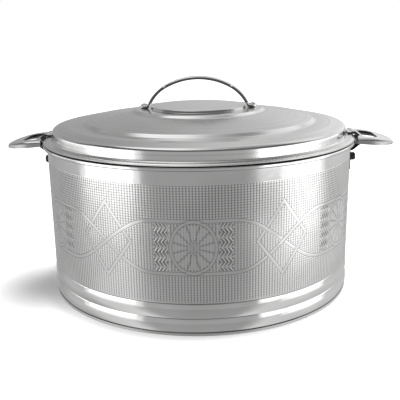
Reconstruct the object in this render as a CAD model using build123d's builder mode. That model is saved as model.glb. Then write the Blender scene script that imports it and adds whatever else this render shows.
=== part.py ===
"""Insulated chapati casserole: a double-walled steel pot, its lift-off lid, and two latch handles that hold it.

The origin is the centre of the ring that the pot stands on. Z points up, X runs through the latch handles and
Y runs from front to back. Sizes are in millimetres.
"""

import os
from math import cos, radians, sin, sqrt, tan

from build123d import *

os.makedirs("parts", exist_ok=True)

# ---- Sheet and clearances ----
body_sheet = 0.6
lid_sheet = 0.5
latch_sheet = 1.4
seat_gap = 0.05  # between pieces of one body that rest on each other
running_gap = 0.3  # between pieces that move past each other
shaft_gap = 0.06  # round the hinge pins

# ---- Pot body ----
body_height = 145.0
wall_radius = 150.0  # at the top of the wall
wall_draft = 3.0  # how much smaller the wall is above the beads
flange_bend = 1.2  # where the wall turns out under the rim
rim_reach = 4.0  # how far the rim stands out from the wall
rim_drop = 3.6  # height of the rim's rolled edge
rim_hem = 2.2  # width of the edge turned in under the rim
rim_bend = 1.4
rim_hem_bend = 1.0
bead_height = 12.7
bead_bulge = 1.1
bead_count = 2
groove_depth = 1.0
foot_inset = 4.2  # how much smaller the foot is than the top of the wall
foam_width = 12.0  # from the bowl's bore to the outside of the wall
bowl_floor = 13.0
bowl_corner = 20.0
bowl_mouth = 1.5  # bend where the bowl turns into the rim
seam_height = 2.6
seam_bend = 0.9
base_recess = 3.0
base_slope = 2.4  # width of the slope from the recess down to the seam
base_bend = 2.0
base_edge_bend = 0.4

# ---- Lid ----
lid_gap = 0.3  # between the pot's rim and the lid's brim
brim_width = 9.3
brim_thickness = 1.8
brim_hem = 2.5
brim_bend = 1.4
brim_hem_bend = 0.85
skirt_rise = 13.0  # from the pot's rim to the shoulder
shoulder_bend = 3.5
rib_inset = 13.7  # each inset is a radius less than the one before, and each rise a height above the one before
rib_rise = 2.7
rib_bend = 6.0
step_inset = 15.0
step_foot_rise = 0.7
step_slope = 3.5
step_rise = 3.0
step_bend = 1.5
dome_rise = 6.9
ledge_slope = 3.5
ledge_rise = 2.4
ledge_bend = 3.0
disc_rise = 2.4
disc_bend = 0.8
riser_draft = 0.8
riser_bend = 0.3
plug_gap = 1.5  # between the lid's plug and the bowl
plug_depth = 11.0
plug_corner = 6.0
liner_bend = 1.0

# ---- Lid handle ----
arch_rise = 31.4  # from the ledge to the top of the arch
strap_width = 14.0
strap_thickness = 3.0
strap_edge = 0.8
crown_radius = 66.0
crown_angle = 30.0
arch_shoulder_radius = 39.5
leg_angle = 61.0
leg_bend = 2.2
rivet_offset = 4.2  # from the foot of the leg to the rivet
foot_lap = 3.9  # from the rivet to the end of the foot
foot_margin = 4.9  # from the end of the foot to the edge of the ledge
disc_gap = 3.3  # from the disc to the foot of the leg
rivet_radius = 2.0
rivet_head_radius = 3.2
rivet_head_height = 1.6
rivet_tail_radius = 3.0
rivet_tail_height = 1.3
backing_radius = 6.0
backing_thickness = 1.0

# ---- Latch brackets, their bolts and the hinge pins ----
pin_offset = 7.0  # from the rim to the hinge pins
pin_drop = 4.6  # below the pot's rim
pin_radius = 1.6
pin_head_radius = 2.9
pin_head_height = 1.0
ear_radius = 3.0
ear_thickness = 1.5
ear_inset = 7.7  # inside face of an ear, from the middle of the latch
bracket_sheet = 1.6
bracket_shoulder = 13.0  # below the pot's rim, where the bracket leaves the wall
bracket_length = 21.0
bracket_root_radius = 2.0
jog_bend = 3.0
jog_set_back = 1.0
bolt_offset = 9.4  # below the bracket's shoulder
bolt_radius = 2.5
bolt_hole_gap = 0.1
bolt_head_radius = 4.0
bolt_head_height = 4.9
bolt_crown_radius = 2.1
bolt_flange_radius = 4.6
bolt_flange_height = 1.3
bolt_socket_width = 3.0
bolt_socket_depth = 2.0
bolt_end = 0.8  # thread that stands out of the nut
nut_width = 8.0
nut_height = 3.5
washer_radius = 7.0
washer_thickness = 1.2

# ---- Latch handles ----
wing_gap = 3.0  # from the rim to the wing
wing_length = 36.0
wing_middle_offset = 19.0
wing_root_height = 0.8  # heights of the wing are taken from the pot's rim
wing_middle_height = -0.8
wing_tip_height = -4.8
wing_root_depth = 5.4
wing_tip_depth = 3.2
wing_half_width = 31.5
wing_corner = 28.0
wing_edge = 3.0
finger_hole_inset = 4.5
finger_hole_width = 14.5
finger_hole_half_length = 19.0
finger_hole_corner = 8.0
finger_hole_root_corner = 3.0
finger_lip_thickness = 1.2
finger_lip_depth = 1.2
arm_width = 24.0
pad_lap = 6.5  # how far the pad reaches in over the brim
pad_length = 3.3
arm_rise_run = 1.4
arm_crest_run = 2.6
arm_fall_run = 4.2
arm_lap = 1.8
arm_crest_height = 4.6
arm_foot_rise = 0.2
arm_end_drop = 0.5
pad_bend = 1.0
arm_bend = 1.8
arm_crest_bend = 2.0
arm_foot_bend = 1.8
lug_radius = 3.5
lug_thickness = 1.5

# ---- Radii and heights of the pot, worked out from the sizes above ----
rim_radius = wall_radius + rim_reach
foot_radius = wall_radius - foot_inset
bowl_radius = wall_radius - foam_width
seam_radius = foot_radius + body_sheet + seat_gap
shell_flange = body_height - rim_drop + body_sheet + seat_gap
bead_top = seam_height + bead_count * bead_height
base_plate_top = base_recess + body_sheet
foam_gap = body_sheet + seat_gap

# ---- Heights of the lid ----
brim_bottom = body_height + lid_gap
brim_top = brim_bottom + brim_thickness
shoulder_top = body_height + skirt_rise
rib_top = shoulder_top + rib_rise
step_foot = rib_top + step_foot_rise
step_top = step_foot + step_rise
dome_top = step_top + dome_rise
ledge_top = dome_top + ledge_rise
disc_top = ledge_top + disc_rise
cover_underside = ledge_top - lid_sheet
lid_foam_gap = lid_sheet + seat_gap

# ---- Arch of the lid handle: three arcs and two straight legs that run down to the ledge ----
strap_middle = strap_thickness / 2
crown_centre = ledge_top + arch_rise - strap_middle - crown_radius
crown_end_x = crown_radius * sin(radians(crown_angle))
crown_end_z = crown_centre + crown_radius * cos(radians(crown_angle))
leg_top_x = crown_end_x + arch_shoulder_radius * (sin(radians(leg_angle)) - sin(radians(crown_angle)))
leg_top_z = crown_end_z - arch_shoulder_radius * (cos(radians(crown_angle)) - cos(radians(leg_angle)))
foot_middle = ledge_top + seat_gap + strap_middle
leg_foot = leg_top_x + (leg_top_z - foot_middle) / tan(radians(leg_angle))
rivet_centre = leg_foot + rivet_offset
foot_end = rivet_centre + foot_lap

# ---- Radii of the lid ----
brim_radius = rim_radius
skirt_radius = brim_radius - brim_width
rib_radius = skirt_radius - rib_inset
step_radius = rib_radius - step_inset
step_top_radius = step_radius - step_slope
ledge_radius = foot_end + foot_margin
dome_radius = ledge_radius + ledge_slope
disc_radius = leg_foot - disc_gap
plug_radius = bowl_radius - plug_gap

# ---- Places of the latches, from the pot's axis outward ----
pin_reach = rim_radius + pin_offset
pin_height = body_height - pin_drop
lug_inset = ear_inset + ear_thickness + running_gap
pin_half_length = lug_inset + lug_thickness + running_gap + pin_head_height
shoulder_height = body_height - bracket_shoulder
bracket_foot = shoulder_height - bracket_length
bolt_height = shoulder_height - bolt_offset
wing_root = rim_radius + wing_gap  # the wing's inner edge follows the rim
wing_horn = sqrt(wing_root**2 - wing_half_width**2)  # where that edge meets the wing's sides
wing_middle = wing_root + wing_middle_offset
wing_tip = wing_root + wing_length
finger_hole_start = wing_root + finger_hole_inset
finger_hole_end = finger_hole_start + finger_hole_width


def wall_at(height):
    """Outer radius of the wall at a height; the wall keeps its slope down through the beads."""
    return wall_radius - wall_draft * (shell_flange - height) / (shell_flange - bead_top)


def groove_at(height):
    """Radius of the groove between two beads."""
    return wall_at(height) - groove_depth


def side_plane(side):
    """Upright plane through the latch on one side: x runs outward from the pot's axis, y runs up."""
    return Plane(origin=(0, 0, 0), x_dir=(side, 0, 0), z_dir=(0, -side, 0))


def level_plane(side, height):
    """Level plane at a height: x runs outward from the pot's axis on one side."""
    return Plane(origin=(0, 0, height), x_dir=(side, 0, 0), z_dir=(0, 0, 1))


def bolt_plane(side, reach):
    """Plane across a bracket bolt, at a distance from the pot's axis, that faces outward."""
    return Plane(origin=(side * reach, 0, bolt_height), x_dir=(0, side, 0), z_dir=(side, 0, 0))


def sheet_section(path_points, bend_radii, thickness, side):
    """Section through a bent sheet on the XZ plane: a path of flats and bends, thickened to one side."""
    with BuildSketch(Plane.XZ) as section:
        with BuildLine():
            FilletPolyline(*path_points, radius=bend_radii)
            offset(amount=thickness, side=side)
        make_face()
    return section.sketch


# ---- Wall of the pot: flange under the rim, drafted wall, two rolled beads and the foot ----
bead_edges = [bead_top - bead_height * n for n in range(bead_count + 1)]
bead_radii = [groove_at(height) for height in bead_edges[:-1]] + [foot_radius]
wall_foot = bead_top + groove_depth
shell_flange_end = rim_radius - body_sheet - rim_hem_bend

with BuildPart() as outer_shell:
    with BuildSketch(Plane.XZ):
        with BuildLine():
            FilletPolyline(
                (shell_flange_end, shell_flange),
                (wall_at(shell_flange), shell_flange),
                (wall_at(wall_foot), wall_foot),
                (bead_radii[0], bead_top),
                radius=[flange_bend, 0],
            )
            for n in range(bead_count):
                SagittaArc(
                    (bead_radii[n], bead_edges[n]),
                    (bead_radii[n + 1], bead_edges[n + 1]),
                    bead_bulge,
                )
            Line((foot_radius, bead_edges[-1]), (foot_radius, seam_bend + seat_gap))
            offset(amount=body_sheet, side=Side.RIGHT)
        make_face()
    revolve(axis=Axis.Z)
    with BuildSketch(Plane.YZ):
        with Locations((0, bolt_height)):
            Circle(bolt_radius + bolt_hole_gap)
    extrude(amount=rim_radius, both=True, mode=Mode.SUBTRACT)

outer_shell.part.label = "outer_shell"
export_step(outer_shell.part, "parts/outer_shell.step")

# ---- Bowl: its edge is rolled over the wall's flange and makes the rim ----
with BuildPart() as inner_bowl:
    add(
        sheet_section(
            [
                (0, bowl_floor),
                (bowl_radius, bowl_floor),
                (bowl_radius, body_height),
                (rim_radius, body_height),
                (rim_radius, body_height - rim_drop),
                (rim_radius - rim_hem, body_height - rim_drop),
            ],
            [bowl_corner, bowl_mouth, rim_bend, rim_hem_bend],
            body_sheet,
            Side.RIGHT,
        )
    )
    revolve(axis=Axis.Z)

inner_bowl.part.label = "inner_bowl"
export_step(inner_bowl.part, "parts/inner_bowl.step")

# ---- Base plate: recessed pan, seamed round the foot of the wall ----
with BuildPart() as base_plate:
    add(
        sheet_section(
            [
                (0, base_recess),
                (foot_radius - 2 * body_sheet - base_slope, base_recess),
                (foot_radius - 2 * body_sheet, 0),
                (seam_radius, 0),
                (seam_radius, seam_height),
            ],
            [base_bend, base_edge_bend, seam_bend],
            body_sheet,
            Side.LEFT,
        )
    )
    revolve(axis=Axis.Z)

base_plate.part.label = "base_plate"
export_step(base_plate.part, "parts/base_plate.step")

# ---- Bolts that hold the latch brackets: places along the bolt, measured from the pot's axis ----
wall_at_bolt = wall_at(bolt_height)
wall_inside = wall_at(bolt_height - washer_radius) - body_sheet
washer_face = sqrt(wall_inside**2 - washer_radius**2) - seat_gap
nut_face = washer_face - washer_thickness - seat_gap
bolt_tip = nut_face - nut_height - bolt_end
bracket_face = wall_at_bolt + bracket_sheet
head_seat = bracket_face + seat_gap

# ---- Foam between wall and bowl, with a pocket round each nut ----
with BuildPart() as body_insulation:
    with BuildSketch(Plane.XZ):
        with BuildLine():
            foam_line = FilletPolyline(
                (0, base_plate_top + seat_gap),
                (groove_at(bead_edges[1]) - foam_gap, base_plate_top + seat_gap),
                (groove_at(bead_edges[1]) - foam_gap, bead_edges[1]),
                (groove_at(bead_top) - foam_gap, wall_foot),
                (wall_at(shell_flange) - foam_gap, body_height - foam_gap),
                (bowl_radius + foam_gap, body_height - foam_gap),
                (bowl_radius + foam_gap, bowl_floor - foam_gap),
                (0, bowl_floor - foam_gap),
                radius=[0, 0, 0, 0, bowl_mouth - foam_gap, bowl_corner + foam_gap],
            )
            Line(foam_line @ 1, foam_line @ 0)
        make_face()
    revolve(axis=Axis.Z)
    for side in (1, -1):
        with BuildSketch(bolt_plane(side, bolt_tip - seat_gap)):
            Circle(washer_radius + seat_gap)
        extrude(amount=wall_radius - bolt_tip, mode=Mode.SUBTRACT)

body_insulation.part.label = "body_insulation"
export_step(body_insulation.part, "parts/body_insulation.step")


# Radius, height and bend of each turn in the cover, from the disc to the shoulder. A bend is negative where the
# cover turns upward or outward.
cover_turns = [
    (disc_radius, disc_top, disc_bend),
    (disc_radius + riser_draft, ledge_top, -riser_bend),
    (ledge_radius, ledge_top, ledge_bend),
    (dome_radius, dome_top, -ledge_bend),
    (step_top_radius, step_top, step_bend),
    (step_radius, step_foot, -step_bend),
    (rib_radius, rib_top, rib_bend),
    (skirt_radius, shoulder_top, shoulder_bend),
]


def cover_points(inset):
    """Corners of the cover from its middle to its shoulder, moved inward and down by an inset."""
    return [(0, disc_top - inset)] + [(radius - inset, height - inset) for radius, height, _ in cover_turns]


def cover_bends(inset):
    """Bend radii at the cover's turns, for a line that runs an inset below its top."""
    return [abs(bend) - inset if bend > 0 else abs(bend) + inset for _, _, bend in cover_turns]


# ---- Lid cover: raised disc, ledge, dome, step, shoulder, skirt and a brim hemmed over the liner ----
with BuildPart() as lid_cover:
    add(
        sheet_section(
            cover_points(0)
            + [
                (skirt_radius, brim_top),
                (brim_radius, brim_top),
                (brim_radius, brim_bottom),
                (brim_radius - brim_hem, brim_bottom),
            ],
            cover_bends(0) + [brim_bend, brim_hem_bend, brim_hem_bend],
            lid_sheet,
            Side.RIGHT,
        )
    )
    revolve(axis=Axis.Z)
    with BuildSketch(Plane.XY.offset(cover_underside)):
        with Locations((rivet_centre, 0), (-rivet_centre, 0)):
            Circle(rivet_radius + seat_gap)
    extrude(amount=2 * lid_sheet, both=True, mode=Mode.SUBTRACT)

lid_cover.part.label = "lid_cover"
export_step(lid_cover.part, "parts/lid_cover.step")

# ---- Lid liner: pan that plugs the bowl's mouth, its flange held in the cover's hem ----
plug_bottom = body_height - plug_depth
liner_flange = brim_bottom + lid_sheet + seat_gap
liner_flange_end = brim_radius - lid_sheet - 2 * seat_gap - lid_sheet

with BuildPart() as lid_liner:
    add(
        sheet_section(
            [
                (0, plug_bottom),
                (plug_radius, plug_bottom),
                (plug_radius, liner_flange),
                (liner_flange_end, liner_flange),
            ],
            [plug_corner, liner_bend],
            lid_sheet,
            Side.LEFT,
        )
    )
    revolve(axis=Axis.Z)

lid_liner.part.label = "lid_liner"
export_step(lid_liner.part, "parts/lid_liner.step")

# ---- Foam in the lid, with a pocket round each rivet's tail ----
with BuildPart() as lid_insulation:
    with BuildSketch(Plane.XZ):
        with BuildLine():
            lid_foam_line = FilletPolyline(
                (0, plug_bottom + lid_foam_gap),
                (plug_radius - lid_foam_gap, plug_bottom + lid_foam_gap),
                (plug_radius - lid_foam_gap, liner_flange + lid_foam_gap),
                (skirt_radius - lid_foam_gap, liner_flange + lid_foam_gap),
                radius=[plug_corner - lid_foam_gap, 0],
            )
            cover_line = FilletPolyline(
                *cover_points(lid_foam_gap),
                lid_foam_line @ 1,
                radius=cover_bends(lid_foam_gap),
            )
            Line(cover_line @ 0, lid_foam_line @ 0)
        make_face()
    revolve(axis=Axis.Z)
    with BuildSketch(Plane.XY.offset(ledge_top)):
        with Locations((rivet_centre, 0), (-rivet_centre, 0)):
            Circle(backing_radius + seat_gap)
    extrude(
        amount=-(lid_sheet + backing_thickness + rivet_tail_height + 4 * seat_gap),
        mode=Mode.SUBTRACT,
    )

lid_insulation.part.label = "lid_insulation"
export_step(lid_insulation.part, "parts/lid_insulation.step")

# ---- Lid handle: one strap bent into an arch of three arcs, two straight legs and two feet ----
with BuildPart() as lid_handle:
    with BuildSketch(Plane.XZ):
        with BuildLine() as strap_line:
            half_crown = CenterArc((0, crown_centre), crown_radius, 90 - crown_angle, crown_angle)
            shoulder = JernArc(
                start=(crown_end_x, crown_end_z),
                tangent=(cos(radians(crown_angle)), -sin(radians(crown_angle))),
                radius=arch_shoulder_radius,
                arc_size=-(leg_angle - crown_angle),
            )
            FilletPolyline(
                shoulder @ 1,
                (leg_foot, foot_middle),
                (foot_end, foot_middle),
                radius=leg_bend,
            )
            mirror(about=Plane.YZ)
            offset(amount=strap_middle, side=Side.BOTH, kind=Kind.TANGENT)
        make_face()
    extrude(amount=strap_width / 2, both=True)
    with BuildSketch(Plane.XY) as strap_outline:
        SlotOverall(2 * foot_end, strap_width)
    extrude(amount=ledge_top + arch_rise, mode=Mode.INTERSECT)
    fillet(lid_handle.faces().sort_by(Axis.Z)[-1].edges().filter_by(GeomType.CIRCLE), strap_edge)
    with BuildSketch(Plane.XY.offset(ledge_top)):
        with Locations((rivet_centre, 0), (-rivet_centre, 0)):
            Circle(rivet_radius + seat_gap)
    extrude(amount=2 * strap_thickness, mode=Mode.SUBTRACT)

lid_handle.part.label = "lid_handle"
export_step(lid_handle.part, "parts/lid_handle.step")

# ---- Washers under the cover, and the dome-head rivets through feet, cover and washers ----
backing_top = cover_underside - seat_gap
backing_bottom = backing_top - backing_thickness
rivet_seat = ledge_top + strap_thickness + 2 * seat_gap
tail_top = backing_bottom - seat_gap

with BuildPart() as handle_backing_washers:
    with BuildSketch(Plane.XY.offset(backing_bottom)):
        with Locations((rivet_centre, 0), (-rivet_centre, 0)):
            Circle(backing_radius)
            Circle(rivet_radius + seat_gap, mode=Mode.SUBTRACT)
    extrude(amount=backing_thickness)

handle_backing_washers.part.label = "handle_backing_washers"
export_step(handle_backing_washers.part, "parts/handle_backing_washers.step")

with BuildPart() as handle_rivets:
    for centre in (rivet_centre, -rivet_centre):
        with BuildSketch(Plane(origin=(centre, 0, 0), x_dir=(1, 0, 0), z_dir=(0, -1, 0))):
            with BuildLine():
                dome = TangentArc(
                    (0, rivet_seat + rivet_head_height),
                    (rivet_head_radius, rivet_seat),
                    tangent=(1, 0),
                )
                Polyline(
                    dome @ 1,
                    (rivet_radius, rivet_seat),
                    (rivet_radius, tail_top),
                    (rivet_tail_radius, tail_top),
                    (rivet_tail_radius, tail_top - rivet_tail_height),
                    (0, tail_top - rivet_tail_height),
                    dome @ 0,
                )
            make_face()
        revolve(axis=Axis((centre, 0, 0), (0, 0, 1)))

handle_rivets.part.label = "handle_rivets"
export_step(handle_rivets.part, "parts/handle_rivets.step")


def latch_bracket(side):
    """Strap bolted to the wall; it jogs out under the rim and ends in two ears for the pin."""
    jog_reach = pin_reach - ear_radius - shaft_gap
    jog_rise = jog_reach - bracket_face - jog_set_back
    plate_back = wall_at(shoulder_height) - bracket_sheet
    ear_root = (bracket_face + bracket_root_radius / 2, shoulder_height)
    half_width = ear_inset + ear_thickness
    with BuildPart() as bracket:
        with BuildSketch(side_plane(side)):
            with BuildLine():
                jog = FilletPolyline(
                    (bracket_face, bracket_foot),
                    (bracket_face, shoulder_height),
                    (jog_reach, shoulder_height + jog_rise),
                    radius=[jog_bend],
                )
                Polyline(
                    jog @ 1,
                    (jog % 1).rotate(Axis.Z, 90) * bracket_sheet + (jog @ 1),
                    (bracket_face - bracket_sheet, shoulder_height + jog_set_back),
                    (plate_back, shoulder_height),
                    (plate_back, bracket_foot),
                    jog @ 0,
                )
            make_face()
        extrude(amount=half_width, both=True)
        for face in (half_width, -ear_inset):
            with BuildSketch(side_plane(side).offset(face)):
                with Locations((pin_reach, pin_height)):
                    Circle(ear_radius)
                with Locations(ear_root):
                    Circle(bracket_root_radius)
                make_hull()
            extrude(amount=-ear_thickness)
        with BuildSketch(Plane.XZ):
            with BuildLine():
                Polyline(
                    (0, 0),
                    (wall_at(0) + seat_gap, 0),
                    (wall_at(body_height) + seat_gap, body_height),
                    (0, body_height),
                    close=True,
                )
            make_face()
        revolve(axis=Axis.Z, mode=Mode.SUBTRACT)
        with BuildSketch(side_plane(side)):
            with Locations((pin_reach, pin_height)):
                Circle(pin_radius + seat_gap)
        extrude(amount=half_width, both=True, mode=Mode.SUBTRACT)
        with BuildSketch(bolt_plane(side, 0)):
            Circle(bolt_radius + bolt_hole_gap)
        extrude(amount=pin_reach, mode=Mode.SUBTRACT)
    return bracket


def bracket_bolt(side):
    """Dome-head screw with a flange and a hexagon socket."""
    with BuildPart() as bolt:
        with BuildSketch(bolt_plane(side, bolt_tip)):
            Circle(bolt_radius)
        extrude(amount=head_seat - bolt_tip)
        with BuildSketch(bolt_plane(side, head_seat)):
            Circle(bolt_flange_radius)
        extrude(amount=bolt_flange_height)
        with BuildSketch(bolt_plane(side, head_seat)):
            Circle(bolt_head_radius)
        extrude(amount=bolt_flange_height + bolt_head_height)
        crown = bolt.faces().sort_by(Axis.X)[-1 if side > 0 else 0]
        fillet(crown.edges(), bolt_crown_radius)
        with BuildSketch(bolt_plane(side, head_seat + bolt_flange_height + bolt_head_height)):
            RegularPolygon(bolt_socket_width / 2, 6, major_radius=False)
        extrude(amount=-bolt_socket_depth, mode=Mode.SUBTRACT)
    return bolt


def bracket_washer(side):
    """Large washer that spreads the load behind the wall."""
    with BuildPart() as washer:
        with BuildSketch(bolt_plane(side, washer_face)):
            Circle(washer_radius)
            Circle(bolt_radius + bolt_hole_gap, mode=Mode.SUBTRACT)
        extrude(amount=-washer_thickness)
    return washer


def bracket_nut(side):
    """Hexagon nut."""
    with BuildPart() as nut:
        with BuildSketch(bolt_plane(side, nut_face)):
            RegularPolygon(nut_width / 2, 6, major_radius=False)
            Circle(bolt_radius + seat_gap, mode=Mode.SUBTRACT)
        extrude(amount=-nut_height)
    return nut


def hinge_pin(side):
    """Pin through ears and lugs, headed at both ends."""
    with BuildPart() as pin:
        with BuildSketch(side_plane(side)):
            with Locations((pin_reach, pin_height)):
                Circle(pin_radius)
        extrude(amount=pin_half_length, both=True)
        for face in (pin_half_length, -pin_half_length + pin_head_height):
            with BuildSketch(side_plane(side).offset(face)):
                with Locations((pin_reach, pin_height)):
                    Circle(pin_head_radius)
            extrude(amount=-pin_head_height)
    return pin


def wing_outline(side, inset):
    """Plan of the wing, a broad tongue with round corners at its tip, made smaller by an inset."""
    reach = wing_tip - inset
    half_width = wing_half_width - inset
    start = wing_root - (reach - wing_root)
    with BuildSketch(level_plane(side, 0)) as outline:
        with Locations(((start + reach) / 2, 0)):
            RectangleRounded(reach - start, 2 * half_width, wing_corner - inset)
    return outline.sketch


def wing_blank(side, inset):
    """Solid wing between its arched top and its lower edge, made smaller by an inset; inset is its hollow."""
    top_drop = inset
    lower = 0 if inset == 0 else 2 * wing_root_depth
    with BuildPart() as blank:
        with BuildSketch(side_plane(side)):
            with BuildLine():
                top = ThreePointArc(
                    (wing_horn, body_height + wing_root_height - top_drop),
                    (wing_middle, body_height + wing_middle_height - top_drop),
                    (wing_tip, body_height + wing_tip_height - top_drop),
                )
                Polyline(
                    top @ 1,
                    (wing_tip, body_height + wing_tip_height - wing_tip_depth - lower),
                    (wing_horn, body_height + wing_root_height - wing_root_depth - lower),
                    top @ 0,
                )
            make_face()
        extrude(amount=wing_half_width, both=True)
        add(wing_outline(side, inset))
        extrude(amount=2 * body_height, mode=Mode.INTERSECT)
        roof = blank.faces().filter_by(GeomType.CYLINDER).sort_by(Axis.Z)[-1]
        rim_edges = roof.edges().filter_by(lambda e: abs(e.center().X) > wing_horn + latch_sheet)
        fillet(rim_edges, wing_edge - inset)
    return blank


def finger_hole(side, grow):
    """Plan of the finger hole, straight on the pot's side and round outside, made larger by grow."""
    root_corner = finger_hole_root_corner + grow
    outer_corner = finger_hole_corner + grow
    with BuildSketch(level_plane(side, 0)) as hole:
        with BuildLine():
            FilletPolyline(
                (finger_hole_start - grow, -finger_hole_half_length - grow),
                (finger_hole_end + grow, -finger_hole_half_length - grow),
                (finger_hole_end + grow, finger_hole_half_length + grow),
                (finger_hole_start - grow, finger_hole_half_length + grow),
                close=True,
                radius=[root_corner, outer_corner, outer_corner, root_corner],
            )
        make_face()
    return hole.sketch


def finger_lip(side):
    """Edge of the finger hole, turned down under the wing and cut clear of the hinge's ears."""
    depth = latch_sheet + finger_lip_depth
    with BuildPart() as lip:
        with BuildSketch(side_plane(side)):
            with BuildLine():
                roof = ThreePointArc(
                    (wing_horn, body_height + wing_root_height - latch_sheet / 2),
                    (wing_middle, body_height + wing_middle_height - latch_sheet / 2),
                    (wing_tip, body_height + wing_tip_height - latch_sheet / 2),
                )
                under = ThreePointArc(
                    (wing_horn, body_height + wing_root_height - depth),
                    (wing_middle, body_height + wing_middle_height - depth),
                    (wing_tip, body_height + wing_tip_height - depth),
                )
                Line(roof @ 0, under @ 0)
                Line(roof @ 1, under @ 1)
            make_face()
        extrude(amount=wing_half_width, both=True)
        add(finger_hole(side, finger_lip_thickness))
        extrude(amount=2 * body_height, mode=Mode.INTERSECT)
        with BuildSketch(side_plane(side)):
            with Locations((pin_reach, pin_height)):
                Circle(ear_radius + running_gap)
        extrude(amount=wing_half_width, both=True, mode=Mode.SUBTRACT)
    return lip


def latch_arm(side):
    """Strap that rises from the wing over the brim and ends in the pad that holds the lid."""
    pad_height = brim_top + running_gap + latch_sheet
    crest_height = body_height + arm_crest_height
    wing_height = body_height + wing_root_height
    pad_start = brim_radius - pad_lap
    pad_end = pad_start + pad_length
    crest_start = pad_end + arm_rise_run
    crest_end = crest_start + arm_crest_run
    foot_start = crest_end + arm_fall_run
    with BuildPart() as arm:
        with BuildSketch(side_plane(side)):
            with BuildLine():
                FilletPolyline(
                    (pad_start, pad_height),
                    (pad_end, pad_height),
                    (crest_start, crest_height),
                    (crest_end, crest_height),
                    (foot_start, wing_height + arm_foot_rise),
                    (foot_start + arm_lap, wing_height - arm_end_drop),
                    radius=[pad_bend, arm_bend, arm_crest_bend, arm_foot_bend],
                )
                offset(amount=latch_sheet, side=Side.RIGHT)
            make_face()
        extrude(amount=arm_width / 2, both=True)
    return arm


def latch_handle(side):
    """Pressed wing with its finger hole, the arm over the brim and two lugs on the pin."""
    blank = wing_blank(side, 0)
    hollow = wing_blank(side, latch_sheet)
    lip = finger_lip(side)
    arm = latch_arm(side)
    with BuildPart() as latch:
        add(blank.part)
        add(hollow.part, mode=Mode.SUBTRACT)
        with BuildSketch(Plane.XY):
            Circle(wing_root)
        extrude(amount=2 * body_height, mode=Mode.SUBTRACT)
        add(lip.part)
        add(finger_hole(side, 0))
        extrude(amount=2 * body_height, mode=Mode.SUBTRACT)
        add(arm.part)
        for face in (lug_inset + lug_thickness, -lug_inset):
            with BuildSketch(side_plane(side).offset(face)):
                with Locations((pin_reach, pin_height)):
                    Circle(lug_radius)
                with Locations((pin_reach, body_height + wing_root_height - latch_sheet / 2 - lug_radius / 2)):
                    Circle(lug_radius / 2)
                make_hull()
            extrude(amount=-lug_thickness)
        with BuildSketch(side_plane(side)):
            with Locations((pin_reach, pin_height)):
                Circle(pin_radius + shaft_gap)
        extrude(amount=arm_width, both=True, mode=Mode.SUBTRACT)
    return latch


# ---- Both sides: bracket, its fastening, the pin and the latch handle ----
for side, word in ((1, "right"), (-1, "left")):
    for make_piece in (latch_bracket, bracket_bolt, bracket_washer, bracket_nut, hinge_pin, latch_handle):
        piece = make_piece(side)
        piece.part.label = f"{make_piece.__name__}_{word}"
        export_step(piece.part, f"parts/{piece.part.label}.step")
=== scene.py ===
from math import cos, hypot, pi, radians, sin, tan

import bmesh
import bpy
from mathutils import Matrix, Vector


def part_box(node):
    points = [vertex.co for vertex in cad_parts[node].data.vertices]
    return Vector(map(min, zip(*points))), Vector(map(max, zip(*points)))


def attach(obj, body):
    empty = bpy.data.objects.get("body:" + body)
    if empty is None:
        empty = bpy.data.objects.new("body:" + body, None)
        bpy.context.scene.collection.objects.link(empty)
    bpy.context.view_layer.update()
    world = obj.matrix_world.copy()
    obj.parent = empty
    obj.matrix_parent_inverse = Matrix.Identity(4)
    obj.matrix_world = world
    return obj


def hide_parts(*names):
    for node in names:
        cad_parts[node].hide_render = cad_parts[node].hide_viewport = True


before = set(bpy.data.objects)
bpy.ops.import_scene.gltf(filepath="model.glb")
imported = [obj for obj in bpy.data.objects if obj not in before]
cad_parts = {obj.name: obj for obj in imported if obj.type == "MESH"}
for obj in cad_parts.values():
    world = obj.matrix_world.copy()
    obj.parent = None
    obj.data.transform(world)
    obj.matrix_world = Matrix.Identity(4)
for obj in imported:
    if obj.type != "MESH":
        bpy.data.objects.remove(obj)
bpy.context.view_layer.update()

# ---- Camera ----
# The pot is seen from the front, from a little above its lid and a touch towards the right handle. The lens
# is aimed at the rim and shifted down, which brings the whole pot into the frame.
aim = Vector((0, 0, 0.145))
reach, lift, turn, roll = 0.671, radians(9.43), radians(2.25), radians(-0.94)
camera_data = bpy.data.cameras.new("camera")
camera_data.lens = 59.67
camera_data.sensor_width = 36
camera_data.clip_start = 0.05
camera_data.shift_x = 0.003
camera_data.shift_y = -0.1615
camera = bpy.data.objects.new("camera", camera_data)
toward = Vector((cos(lift) * sin(turn), -cos(lift) * cos(turn), sin(lift)))
upright = toward.to_track_quat("Z", "Y").to_matrix()
rolled = upright @ Matrix.Rotation(roll, 3, "Z")
camera.matrix_world = Matrix.Translation(aim + reach * toward) @ rolled.to_4x4()
bpy.context.scene.collection.objects.link(camera)
bpy.context.scene.camera = camera

# ---- Wall of the pot ----
# One drawn sheet of stainless steel, turned out at the top to take the bowl's rim and rolled into two beads
# above its foot. Between a plain band and the beads it is embossed with a waffle, ribbons, lozenges and
# rosettes.
MM = 0.001
spin_steps, bend_step, crisp_edge = 256, radians(11), radians(38)


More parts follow.
